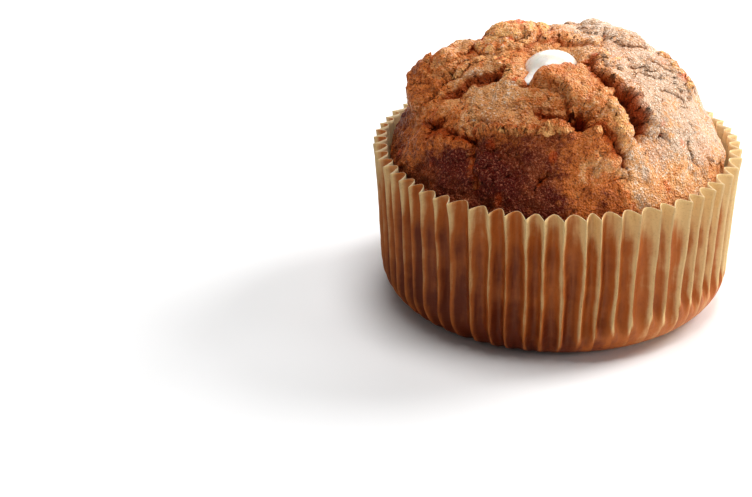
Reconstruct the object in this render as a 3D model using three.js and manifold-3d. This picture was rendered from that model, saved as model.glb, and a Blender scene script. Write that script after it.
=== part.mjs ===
// A carrot muffin in a pleated paper baking case, with a soft cream filling injected from the top.
// Three solids: the case, the baked crumb that took the case's shape, and the filling in its well.
// Millimetres, +Z up. The origin is the centre of the case's underside, and the front faces -Y.
import * as THREE from "three";
import { mergeVertices } from "three/addons/utils/BufferGeometryUtils.js";
import Module from "manifold-3d";

// Paper case, measured over the outside of its ridges.
const RIM_RADIUS = 43;
const WALL_RADIUS = 41; // where the wall meets the rounded corner
const CORNER_RADIUS = 9;
const CASE_HEIGHT = 37.5;
const PAPER = 0.3;

// Pleats: a sharp ridge, then a wide valley, and the depth fades out towards the base.
const PLEATS = 60; // a multiple of 4, so that the case measures the same along X and Y
const PLEAT_DEPTH = 2.2;
const VALLEY_START = 0.28; // share of a pleat from its ridge to the start of the valley floor
const FADE_LOW = 1.5; // height at which the pleats begin
const FADE_HIGH = 15; // height at which they have their full depth

// Baked crumb: it fills the case up to the crust line, then rises as a dome.
const CRUMB_GAP = 0.35; // clearance between the crumb and the paper
const CRUST_LINE = 30;
const DOME_TOP = 63.2; // the dome's own apex, before its lumps
const DOME_RISE = 1.9; // exponent of height: how long the flanks stay steep
const DOME_ROUND = 2.6; // exponent of width: how full the shoulders are

// Filling: a bulb inside the crumb, a narrow neck where the nozzle went in, and a bead in the crater.
const NOZZLE = new THREE.Vector2(-2, -7); // where the nozzle went in, from the centre
const FILL_GAP = 0.3; // clearance between the filling and its well
const BULB_BOTTOM = 12;
const BULB_RADIUS = 10;
const BULB_HEIGHT = 22; // from the bulb's bottom to its shoulder
const BULB_BELLY = 0.45; // share of that height where the bulb is widest
const BULB_FOOT = { width: 0.75, height: 0.12 }; // shares of its radius and height where it turns up
const NECK_RADIUS = 4.2;
const BEAD_RADIUS = 6;
const BEAD_RISE = 1.2; // from the crater's floor to the bead's widest point
const BEAD_HEIGHT = 2.2; // from there to its top

// Lumps and hollows of the risen crust: where each sits on the dome, how far it spreads, how high it stands.
const CRUST_LUMPS = [
  { at: [-2, -6], spread: 8, height: -5 }, // crater that the filling was injected through
  { at: [-15, 8], spread: 8, height: 1 }, // crest behind the crater, left
  { at: [7, 9], spread: 9, height: 1.2 }, // crest behind the crater, right
  { at: [-27, 1], spread: 8, height: 1.5 }, // left shoulder
  { at: [-22, -13], spread: 6, height: -1.2 }, // crease under the left shoulder
  { at: [18, -9], spread: 9, height: 1.2 }, // raised plate of crust on the right
  { at: [16, -25], spread: 5, height: -2.5 }, // split under that plate's edge
  { at: [3, -19], spread: 4.5, height: 1.8 }, // torn flap in front of the crater
  { at: [-8, -28], spread: 7, height: 1 }, // ledge of the front plate
  { at: [-10, 29], spread: 8, height: 1.3 },
  { at: [20, 22], spread: 8, height: -1.2 },
];

// Heights where the wall bends, shared by the case and the crumb.
const CRUMB_WALL = [FADE_HIGH, CRUST_LINE];

// Steps of the meshes.
const CORNER_STEPS = 3;
const DOME_STEPS = 10;
const FILL_SIDES = 24;
const BULB_STEPS = 10;
const BEAD_STEPS = 5;

const FINISHES = {
  paper: { color: 0xc79a63, roughness: 0.7, metalness: 0 },
  crust: { color: 0xa9693a, roughness: 0.6, metalness: 0 },
  cream: { color: 0xf6f2e8, roughness: 0.35, metalness: 0 },
};

// The closed outline of the pleated wall at one height: one ridge point and two valley points for each pleat.
function pleatedOutline(radius, depth) {
  const points = [];
  const pitch = (2 * Math.PI) / PLEATS;
  for (let i = 0; i < PLEATS; i++) {
    const corners = [
      [0, radius],
      [VALLEY_START, radius - depth],
      [1 - VALLEY_START, radius - depth],
    ];
    for (const [share, r] of corners) {
      const angle = (i + share) * pitch;
      points.push(new THREE.Vector2(r * Math.cos(angle), r * Math.sin(angle)));
    }
  }
  return points;
}

// The same outline moved inwards by a distance measured square to each side, as a wall's inner face is.
function inset(outline, distance) {
  const n = outline.length;
  const inwards = (a, b) => new THREE.Vector2(a.y - b.y, b.x - a.x).normalize();
  return outline.map((p, i) => {
    const before = inwards(outline[(i + n - 1) % n], p);
    const after = inwards(p, outline[(i + 1) % n]);
    const miter = before.clone().add(after);
    return p.clone().addScaledVector(miter, distance / (1 + before.dot(after)));
  });
}

// Joins rings of equally many points into one closed surface, with a fan at each end. Each quad is split from
// its lower corner on one side to its upper corner on the next, so nested walls fold alike and keep their gap.
function skin(rings, startCentre, endCentre) {
  const sides = rings[0].length;
  const points = [startCentre, ...rings.flat(), endCentre];
  const end = points.length - 1;
  const at = (ring, i) => 1 + ring * sides + (i % sides);
  const faces = [];
  for (let i = 0; i < sides; i++) {
    faces.push(0, at(0, i + 1), at(0, i));
    for (let ring = 0; ring + 1 < rings.length; ring++) {
      const [a, b] = [at(ring, i), at(ring, i + 1)];
      const [c, d] = [at(ring + 1, i + 1), at(ring + 1, i)];
      const rising = points[d].z > points[a].z;
      faces.push(...(rising ? [a, b, c, a, c, d] : [a, b, d, b, c, d]));
    }
    faces.push(at(rings.length - 1, i), at(rings.length - 1, i + 1), end);
  }
  const geometry = new THREE.BufferGeometry().setFromPoints(points);
  return geometry.setIndex(faces);
}

const ringAt = (outline, z) => outline.map((p) => new THREE.Vector3(p.x, p.y, z));

// Stations up the outside of the case: ridge radius, height, and lean, the wall's angle to the floor.
function caseStations(wallHeights) {
  const stations = [];
  for (let i = 0; i <= CORNER_STEPS; i++) {
    const lean = (i / CORNER_STEPS) * (Math.PI / 2);
    stations.push({
      radius: WALL_RADIUS - CORNER_RADIUS + CORNER_RADIUS * Math.sin(lean),
      z: CORNER_RADIUS - CORNER_RADIUS * Math.cos(lean),
      lean,
    });
  }
  for (const z of wallHeights) {
    const share = (z - CORNER_RADIUS) / (CASE_HEIGHT - CORNER_RADIUS);
    const radius = THREE.MathUtils.lerp(WALL_RADIUS, RIM_RADIUS, share);
    stations.push({ radius, z, lean: Math.PI / 2 });
  }
  return stations;
}

// The case's wall at each station, moved inwards by a distance: 0 is its outer face and PAPER its inner one.
function caseRings(wallHeights, distance) {
  return caseStations(wallHeights).map(({ radius, z, lean }) => {
    const depth = PLEAT_DEPTH * THREE.MathUtils.smoothstep(z, FADE_LOW, FADE_HIGH);
    const outline = pleatedOutline(radius, depth);
    return ringAt(inset(outline, distance * Math.sin(lean)), z + distance * Math.cos(lean));
  });
}

function paperCase() {
  const heights = [...CRUMB_WALL, CASE_HEIGHT];
  const outer = caseRings(heights, 0);
  const inner = caseRings(heights, PAPER).reverse();
  return skin([...outer, ...inner], new THREE.Vector3(0, 0, 0), new THREE.Vector3(0, 0, PAPER));
}

// How far the crust's lumps raise the dome at a place.
function lumpHeight(x, y) {
  const raised = ({ at: [cx, cy], spread, height }) =>
    height * Math.exp(-((x - cx) ** 2 + (y - cy) ** 2) / spread ** 2);
  return CRUST_LUMPS.reduce((sum, lump) => sum + raised(lump), 0);
}

// The crumb's outline where it meets the case, and the radius that its dome rises from.
const crumbWalls = caseRings(CRUMB_WALL, PAPER + CRUMB_GAP);
const crustRing = crumbWalls[crumbWalls.length - 1];
const crustRadius = Math.min(...crustRing.map((p) => Math.hypot(p.x, p.y)));

// Height of the crust at a place. A share t of the dome's height is reached where 1 - t ^ DOME_RISE is the
// share of its width to the power DOME_ROUND, and the lumps fade out towards the crust line.
function crustHeight(x, y) {
  const width = Math.min(1, Math.hypot(x, y) / crustRadius);
  const t = (1 - width ** DOME_ROUND) ** (1 / DOME_RISE);
  return THREE.MathUtils.lerp(CRUST_LINE, DOME_TOP, t) + t * lumpHeight(x, y);
}

function domeRings() {
  const rings = [];
  const angles = crustRing.map((p) => Math.atan2(p.y, p.x));
  for (let i = 1; i <= DOME_STEPS; i++) {
    const radius = crustRadius * Math.cos((i / (DOME_STEPS + 1)) * (Math.PI / 2));
    rings.push(
      angles.map((angle) => {
        const [x, y] = [radius * Math.cos(angle), radius * Math.sin(angle)];
        return new THREE.Vector3(x, y, crustHeight(x, y));
      }),
    );
  }
  return rings;
}

function crumbBlank() {
  const base = new THREE.Vector3(0, 0, PAPER + CRUMB_GAP);
  const apex = new THREE.Vector3(0, 0, crustHeight(0, 0));
  return skin([...crumbWalls, ...domeRings()], base, apex);
}

const beadWaist = crustHeight(NOZZLE.x, NOZZLE.y) + BEAD_RISE;

// The filling's outline below the bead's waist, moved outwards by a gap: bulb, neck, and a flare at 45 degrees.
function fillingOutline(gap) {
  const flareDrop = gap * (Math.SQRT2 - 1); // keeps the gap square to the flare
  const neckTop = beadWaist - (BEAD_RADIUS - NECK_RADIUS) - flareDrop;
  const curve = new THREE.SplineCurve([
    new THREE.Vector2(0, BULB_BOTTOM),
    new THREE.Vector2(BULB_FOOT.width * BULB_RADIUS, BULB_BOTTOM + BULB_FOOT.height * BULB_HEIGHT),
    new THREE.Vector2(BULB_RADIUS, BULB_BOTTOM + BULB_BELLY * BULB_HEIGHT),
    new THREE.Vector2(NECK_RADIUS, BULB_BOTTOM + BULB_HEIGHT),
    new THREE.Vector2(NECK_RADIUS, neckTop),
  ]);
  const outline = curve.getPoints(BULB_STEPS).map((p, i) => {
    const along = curve.getTangent(i / BULB_STEPS);
    return p.addScaledVector(new THREE.Vector2(along.y, -along.x), gap);
  });
  outline[0].x = 0; // closes the bulb on its axis
  return [...outline, new THREE.Vector2(BEAD_RADIUS + gap, beadWaist - flareDrop)];
}

// Turns an outline about the nozzle's line, and stands it up: LatheGeometry's own axis is Y.
function turned(outline) {
  const geometry = new THREE.LatheGeometry(outline, FILL_SIDES);
  return geometry.rotateX(Math.PI / 2).translate(NOZZLE.x, NOZZLE.y, 0);
}

function creamFilling() {
  const bead = [];
  for (let i = 0; i < BEAD_STEPS; i++) {
    const angle = (i / BEAD_STEPS) * (Math.PI / 2);
    bead.push(new THREE.Vector2(BEAD_RADIUS * Math.cos(angle), beadWaist + BEAD_HEIGHT * Math.sin(angle)));
  }
  return turned([...fillingOutline(0), ...bead.slice(1), new THREE.Vector2(0, beadWaist + BEAD_HEIGHT)]);
}

// Cuts the filling's well: its outline grown by the gap, wide enough for the bead, and open at the top.
function wellCutter() {
  const above = DOME_TOP + BEAD_RADIUS;
  const top = [new THREE.Vector2(BEAD_RADIUS + FILL_GAP, above), new THREE.Vector2(0, above)];
  return turned([...fillingOutline(FILL_GAP), ...top]);
}

const wasm = await Module();
wasm.setup();
const MERGE_DISTANCE = 1e-4;

function toSolid(geometry) {
  const bare = geometry.clone();
  bare.deleteAttribute("normal");
  bare.deleteAttribute("uv");
  const merged = mergeVertices(bare, MERGE_DISTANCE);
  const vertProperties = merged.attributes.position.array;
  const triVerts = new Uint32Array(merged.index.array);
  return new wasm.Manifold(new wasm.Mesh({ numProp: 3, vertProperties, triVerts }));
}

function toGeometry(solid) {
  const { vertProperties, triVerts } = solid.getMesh();
  const geometry = new THREE.BufferGeometry();
  geometry.setAttribute("position", new THREE.BufferAttribute(vertProperties, 3));
  geometry.setIndex(new THREE.BufferAttribute(triVerts, 1));
  return geometry;
}

const muffinCrumb = () => toGeometry(toSolid(crumbBlank()).subtract(toSolid(wellCutter())));

function named(name, geometry, finish) {
  geometry.computeVertexNormals();
  const mesh = new THREE.Mesh(geometry, new THREE.MeshStandardMaterial(finish));
  mesh.name = name;
  return mesh;
}

const muffin = new THREE.Group();
muffin.add(
  named("paper_case", paperCase(), FINISHES.paper),
  named("muffin_crumb", muffinCrumb(), FINISHES.crust),
  named("cream_filling", creamFilling(), FINISHES.cream),
);

export default muffin;
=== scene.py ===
"""A carrot muffin in its pleated paper case, with a bead of cream in the crater of its crust.

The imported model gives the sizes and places. Three pieces stand for its three nodes: the pleated case, the
baked crumb with its cracked crust, and the cream filling. Lengths are in millimetres, and become metres when
a mesh is made. Only the studio's are in metres throughout.
"""

import itertools
import logging
import math
from dataclasses import dataclass
from enum import Enum

import bpy
import numpy as np
from mathutils import Matrix, Vector


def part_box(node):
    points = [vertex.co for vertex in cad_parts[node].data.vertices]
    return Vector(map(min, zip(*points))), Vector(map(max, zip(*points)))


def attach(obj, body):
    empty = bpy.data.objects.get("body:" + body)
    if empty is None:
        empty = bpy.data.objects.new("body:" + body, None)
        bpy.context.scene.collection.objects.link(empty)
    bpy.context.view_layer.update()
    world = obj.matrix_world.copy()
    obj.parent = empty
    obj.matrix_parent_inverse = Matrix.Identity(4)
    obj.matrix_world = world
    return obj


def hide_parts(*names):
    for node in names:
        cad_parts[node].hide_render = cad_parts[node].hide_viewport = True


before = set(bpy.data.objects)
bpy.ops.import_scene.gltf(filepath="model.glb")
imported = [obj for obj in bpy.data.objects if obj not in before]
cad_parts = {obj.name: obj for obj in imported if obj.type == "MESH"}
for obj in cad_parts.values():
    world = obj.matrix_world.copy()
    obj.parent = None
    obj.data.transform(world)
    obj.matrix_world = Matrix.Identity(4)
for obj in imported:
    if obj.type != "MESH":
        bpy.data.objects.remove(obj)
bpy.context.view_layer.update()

LOG = logging.getLogger("muffin")
MM = 0.001
RIGHT_ANGLE = np.pi / 2
Array = np.ndarray
Path = tuple[tuple[float, float], ...]
Colour = tuple[float, float, float, float]
Socket = bpy.types.NodeSocket
Material = bpy.types.Material
Object = bpy.types.Object


def node_box(node: str) -> Array:
    """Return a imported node's lowest and highest corners in millimetres, one row each."""
    return np.array(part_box(node), dtype=float) / MM


def smoothstep(low: float, high: float, x: Array) -> Array:
    """Rise from 0 to 1 between two values, with the curve 3 t squared minus 2 t cubed.

    Args:
        low: Where the rise starts. It may lie above the end, for a fall as x grows.
        high: Where the rise ends.
        x: Values to look up.

    Returns:
        The share of the rise at each value.
    """
    t = np.clip((x - low) / (high - low), 0.0, 1.0)
    return t * t * (3.0 - 2.0 * t)


def bell(distance: Array, width: float) -> Array:
    """Return a peak of 1 that falls off both ways as exp(-(distance / width) squared)."""
    return np.exp(-((distance / width) ** 2))


def polar(radius: Array | float, angle: Array, z: Array | float) -> Array:
    """Return points at radii, angles and heights, whose shapes are spread over each other."""
    return np.stack(np.broadcast_arrays(radius * np.cos(angle), radius * np.sin(angle), z), axis=-1)


def linear(red: int, green: int, blue: int) -> Colour:
    """Turn a colour as it is seen on a screen into the linear colour that a shader takes.

    Args:
        red: Share of red, 0 to 255.
        green: Share of green, 0 to 255.
        blue: Share of blue, 0 to 255.

    Returns:
        The colour, with an alpha of 1.
    """
    seen = np.array([red, green, blue]) / 255.0
    light = np.where(seen <= 0.04045, seen / 12.92, ((seen + 0.055) / 1.055) ** 2.4)
    return (*(float(c) for c in light), 1.0)


# ---------------------------------------------------------------- grain and lumps


class Grain:
    """Seeded noise in three dimensions, worked out for whole arrays of points."""

    octave_shift: float = 17.3  # takes each octave from another part of the lattice
    reach: float = 1.6  # brings the heights up to about 1

    def __init__(self, seed: int) -> None:
        """Draw the lattice's tables.

        Args:
            seed: Number that fixes the pattern.
        """
        draw = np.random.default_rng(seed)
        self.order = draw.permutation(256)
        slopes = draw.normal(size=(256, 3))
        self.slopes = slopes / np.linalg.norm(slopes, axis=1, keepdims=True)
        self.places = draw.random((256, 3))

    def _hash(self, cell: Array) -> Array:
        """Scramble lattice cells into table places.

        Args:
            cell: Whole coordinates, three to a row.

        Returns:
            A number from 0 to 255 for each cell.
        """
        first = self.order[cell[..., 0] & 255]
        second = self.order[(first + cell[..., 1]) & 255]
        return self.order[(second + cell[..., 2]) & 255]

    def waves(self, points: Array, wavelength: float, octaves: int = 1, gain: float = 0.5) -> Array:
        """Gradient noise: at each lattice corner a random slope, blended by the quintic fade curve.

        Args:
            points: Places in millimetres, three to a row.
            wavelength: Size of the broadest lumps, in millimetres.
            octaves: How many layers, each half as broad as the one before.
            gain: Height of each layer against the one before.

        Returns:
            Heights from about -1 to 1.
        """
        total = np.zeros(points.shape[:-1])
        height = 1.0
        for octave in range(octaves):
            scaled = points / wavelength * 2.0**octave + self.octave_shift * octave
            cell = np.floor(scaled).astype(np.int64)
            inside = scaled - cell
            fade = inside**3 * (inside * (inside * 6.0 - 15.0) + 10.0)
            for corner in itertools.product((0, 1), repeat=3):
                away = inside - corner
                share = np.prod(np.where(corner, fade, 1.0 - fade), axis=-1)
                slope = self.slopes[self._hash(cell + np.array(corner))]
                total += self.reach * height * share * np.sum(slope * away, axis=-1)
            height *= gain
        return total

    def cells(self, points: Array, spacing: float) -> tuple[Array, Array]:
        """Cell noise: the distances to the nearest and second nearest of one random point per lattice cell.

        Args:
            points: Places in millimetres, three to a row.
            spacing: Size of a lattice cell in millimetres.

        Returns:
            Both distances, as shares of the spacing.
        """
        scaled = points / spacing
        cell = np.floor(scaled).astype(np.int64)
        nearest = np.full(points.shape[:-1], np.inf)
        second = nearest.copy()
        for step in itertools.product((-1, 0, 1), repeat=3):
            other = cell + np.array(step)
            away = np.linalg.norm(other + self.places[self._hash(other)] - scaled, axis=-1)
            second = np.minimum(second, np.maximum(nearest, away))
            nearest = np.minimum(nearest, away)
        return nearest, second


@dataclass(frozen=True)
class NoiseLayer:
    """A layer of gradient noise: its height and broadest wavelength in millimetres, and how it is made."""

    height: float
    wavelength: float
    octaves: int = 1
    gain: float = 0.5
    shift: float = 0.0

    def of(self, grain: Grain, points: Array) -> Array:
        """Return the layer's heights at points, in one grain."""
        return self.height * grain.waves(points + self.shift, self.wavelength, self.octaves, self.gain)


# The crust's noise. A shift takes a layer from another part of the grain, so that no two layers agree.
EDGE_WANDER = NoiseLayer(1.2, 7.0, 2)
EDGE_TEAR = NoiseLayer(0.8, 2.2, 3, 0.6, 40.0)
EDGE_SIDES = (0.0, 80.0)
SWELLS = NoiseLayer(0.7, 17.0, 2)
LUMPS = NoiseLayer(0.45, 6.5, 2, shift=9.0)
FLAKES = NoiseLayer(1.0, 13.0, 4, 0.55, 200.0)
FLAKE_PATCHES = NoiseLayer(1.0, 16.0, shift=300.0)
BOWL_EDGE = NoiseLayer(0.8, 4.0, 2)
CRUMBS = NoiseLayer(1.0, 2.6, 3, 0.6)
FINE_CRUMBS = NoiseLayer(0.3, 1.0, 2)
SKIN = NoiseLayer(0.4, 3.4, 4, 0.64)
CREASES = NoiseLayer(1.0, 4.6, 3, 0.6, 15.0)
PORE_PATCHES = NoiseLayer(1.0, 6.0, shift=60.0)
TOAST = NoiseLayer(0.2, 9.0, 3)

# The paper's noise.
PLEAT_WANDER = NoiseLayer(0.45, 6.0, 2)
CRUMPLES = NoiseLayer(0.25, 5.0, 3, shift=50.0)
RIM_WAVES = NoiseLayer(0.3, 9.0, 2, shift=90.0)


def follow(u: Array, v: Array, path: Path) -> tuple[Array, Array, Array]:
    """Measure from places on the crust to a path of straight stretches.

    Args:
        u: First coordinates of the places.
        v: Second coordinates of the places.
        path: Corner points of the path.

    Returns:
        The distance, the share of the path's length at the nearest point, and the side: 1 on the left of the
        path's direction, -1 on its right.
    """
    corners = np.array(path, dtype=float)
    lengths = np.linalg.norm(np.diff(corners, axis=0), axis=1)
    before = np.concatenate([[0.0], np.cumsum(lengths)])
    best = np.full(u.shape, np.inf)
    share = np.zeros(u.shape)
    side = np.ones(u.shape)
    for index, length in enumerate(lengths):
        start = corners[index]
        along = (corners[index + 1] - start) / length
        du, dv = u - start[0], v - start[1]
        run = np.clip(du * along[0] + dv * along[1], 0.0, length)
        distance = np.hypot(du - run * along[0], dv - run * along[1])
        closer = distance < best
        best = np.where(closer, distance, best)
        share = np.where(closer, (before[index] + run) / before[-1], share)
        side = np.where(closer, np.where(along[0] * dv - along[1] * du >= 0.0, 1.0, -1.0), side)
    return best, share, side


def ends_fade(share: Array, length: float = 0.14) -> Array:
    """Fade from 0 at both ends of a path to 1 at a share of its length in."""
    return smoothstep(0.0, length, share) * smoothstep(0.0, length, 1.0 - share)


# ---------------------------------------------------------------- marks on the crust

# How deep or high each kind of mark is, in millimetres, when the painted shade in it is at its darkest.
DARK_LUMP = 5.0
DARK_SPLIT = 3.0
DARK_PLATE = 4.0
DARK_PIT = 2.5


@dataclass(frozen=True)
class Relief:
    """What marks do to the crust at each place: all arrays of one shape."""

    height: Array
    torn: Array
    # painted shade in grooves, pits, dips and at the feet of plate walls
    hollow_shade: Array


@dataclass(frozen=True)
class Lump:
    """A soft swelling or dip, painted with shade when it sinks: its height falls off as exp(-(distance /
    spread) squared).
    """

    at: tuple[float, float]
    spread: float
    height: float
    torn: float = 0.0

    def relief(self, u: Array, v: Array) -> Relief:
        """Work out the lump's relief.

        Args:
            u: First coordinates of places on the crust.
            v: Second coordinates.

        Returns:
            The relief at each place.
        """
        shape = bell(np.hypot(u - self.at[0], v - self.at[1]), self.spread)
        hollow_shade = shape * np.clip(-self.height / DARK_LUMP, 0.0, 1.0)
        return Relief(self.height * shape, self.torn * shape, hollow_shade * 0.4)


@dataclass(frozen=True)
class Split:
    """A crack along a path: a narrow groove exp(-(distance / width) ^ 1.4), with a swollen lip each side.

    A negative depth makes it a crest.
    """

    path: Path
    depth: float
    width: float
    lip: float = 0.0
    torn: float = 0.6

    def relief(self, u: Array, v: Array) -> Relief:
        """Work out the crack's relief.

        Args:
            u: First coordinates of places on the crust.
            v: Second coordinates.

        Returns:
            The relief at each place.
        """
        distance, share, _ = follow(u, v, self.path)
        fade = ends_fade(share)
        groove = fade * np.exp(-((distance / self.width) ** 1.4))
        lips = fade * bell(distance - 2.4 * self.width, 1.5 * self.width)
        torn = self.torn * fade * bell(distance, 1.7 * self.width)
        # the groove is painted with shade
        return Relief(self.lip * lips - self.depth * groove, torn, groove * min(1.0, self.depth / DARK_SPLIT))


@dataclass(frozen=True)
class Plate:
    """A raised plate of crust on the left of a path: a wall as wide as its edge, then a slow fall back.

    A negative rise sinks it instead.
    """

    path: Path
    rise: float
    edge: float
    run: float
    torn: float = 0.5

    def relief(self, u: Array, v: Array) -> Relief:
        """Work out the plate's relief.

        Args:
            u: First coordinates of places on the crust.
            v: Second coordinates.

        Returns:
            The relief at each place.
        """
        distance, share, side = follow(u, v, self.path)
        inside = distance * side
        fade = ends_fade(share, 0.2)
        step = np.clip(1.0 + inside / self.edge, 0.0, 1.0) ** 2
        height = self.rise * fade * step * np.exp(-np.maximum(inside, 0.0) / self.run)
        uphill = inside * math.copysign(1.0, self.rise)
        face = fade * bell(uphill + 0.1, 0.35 + 0.2 * self.edge)
        # painted shade at the foot of the plate's wall
        foot = fade * bell(uphill + 0.9 * self.edge, 0.6 * self.edge + 0.4)
        return Relief(height, self.torn * face, foot * np.clip(abs(self.rise) / DARK_PLATE, 0.0, 0.8))


@dataclass(frozen=True)
class Lobe:
    """A torn lobe of crumb: the highest of some domes, each rise x sqrt(1 - (distance / radius) squared)."""

    domes: tuple[tuple[float, float, float, float], ...]
    torn: float = 0.5

    def relief(self, u: Array, v: Array) -> Relief:
        """Work out the lobe's relief.

        Args:
            u: First coordinates of places on the crust.
            v: Second coordinates.

        Returns:
            The relief at each place.
        """
        height = np.zeros_like(u)
        cover = np.zeros_like(u)
        for at_u, at_v, radius, rise in self.domes:
            inside = np.clip(1.0 - ((u - at_u) ** 2 + (v - at_v) ** 2) / radius**2, 0.0, 1.0)
            height = np.maximum(height, rise * np.sqrt(inside))
            cover = np.maximum(cover, np.clip(3.0 * inside, 0.0, 1.0))
        return Relief(height, self.torn * cover, np.zeros_like(height))


@dataclass(frozen=True)
class Slab:
    """A torn slab: it rises from the path of its foot over a slope, and drops sharply behind its crest."""

    crest: Path
    foot: Path
    rise: float
    slope: float
    torn: float = 0.3

    def relief(self, u: Array, v: Array) -> Relief:
        """Work out the slab's relief.

        Args:
            u: First coordinates of places on the crust.
            v: Second coordinates.

        Returns:
            The relief at each place.
        """
        behind, share, crest_side = follow(u, v, self.crest)
        ahead, _, foot_side = follow(u, v, self.foot)
        below_crest = smoothstep(-1.1, 0.5, -behind * crest_side)
        above_foot = smoothstep(-0.8, 0.6, ahead * foot_side)
        ramp = 0.35 + 0.65 * smoothstep(0.0, self.slope, ahead)
        cover = below_crest * above_foot * smoothstep(0.0, 0.1, share) * smoothstep(0.0, 0.08, 1.0 - share)
        return Relief(self.rise * cover * ramp, self.torn * cover, np.zeros_like(u))


@dataclass(frozen=True)
class Pit:
    """A hole with steep walls: depth x exp(-(distance / radius) cubed)."""

    at: tuple[float, float]
    radius: float
    depth: float
    torn: float = 0.3

    def relief(self, u: Array, v: Array) -> Relief:
        """Work out the hole's relief.

        Args:
            u: First coordinates of places on the crust.
            v: Second coordinates.

        Returns:
            The relief at each place.
        """
        distance = np.hypot(u - self.at[0], v - self.at[1])
        shape = np.exp(-((distance / self.radius) ** 3))
        # the hole is painted with shade
        return Relief(-self.depth * shape, self.torn * shape, shape * min(1.0, self.depth / DARK_PIT))


# Places are measured along the crust from the top of the dome: the first number to the right, the
# second to the back.
CRATER_EDGE = ((-13.5, -3.9), (-13.3, -9.9), (-11.0, -14.4), (-7.6, -19.3))
RIGHT_PLATE_EDGE = (
    (13.0, -7.0), (10.5, -9.5), (8.2, -12.6), (9.6, -15.0), (12.2, -18.0), (14.8, -19.4), (18.0, -20.0),
    (19.4, -22.0), (21.8, -23.2), (22.6, -25.2), (23.0, -27.0), (23.0, -28.8),
)
INNER_VALLEY = ((7.0, -13.0), (10.0, -19.0), (13.4, -21.8), (16.6, -24.0), (18.8, -26.6), (19.6, -29.0))
LEDGE = (
    (17.2, -38.8), (15.6, -36.5), (14.6, -34.2), (11.1, -31.9), (6.5, -33.4), (1.8, -33.3), (-0.6, -31.4),
    (-4.0, -32.7), (-9.9, -31.9), (-14.7, -30.4), (-21.5, -29.6), (-26.0, -31.5),
)
SHOULDER_EDGE = (
    (-31.0, -14.5), (-28.1, -12.4), (-23.4, -11.2), (-20.2, -10.9), (-17.3, -11.5), (-11.5, -11.9),
)
LEFT_CREASE = ((-37.5, -13.5), (-34.0, -20.5), (-30.0, -25.4), (-27.2, -28.0), (-22.2, -31.8))
SLAB_CREST = (
    (-4.6, -20.6), (-3.2, -16.8), (-1.0, -15.6), (3.0, -15.2), (7.0, -14.9), (9.2, -19.4), (12.4, -23.2),
    (15.0, -26.0), (17.0, -28.6), (17.8, -33.4),
)
SLAB_FOOT = (
    (-6.0, -22.5), (-4.6, -25.9), (1.4, -28.8), (4.4, -29.3), (6.9, -30.7), (11.1, -31.6),
    (13.8, -33.2), (16.2, -35.0), (18.6, -34.6),
)
CRATER_WALL = ((-12.5, -6.5), (-9.8, -1.2), (-6.0, 2.4), (-1.0, 4.0), (4.0, 3.4), (8.0, 0.4), (11.5, -4.6))

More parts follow.
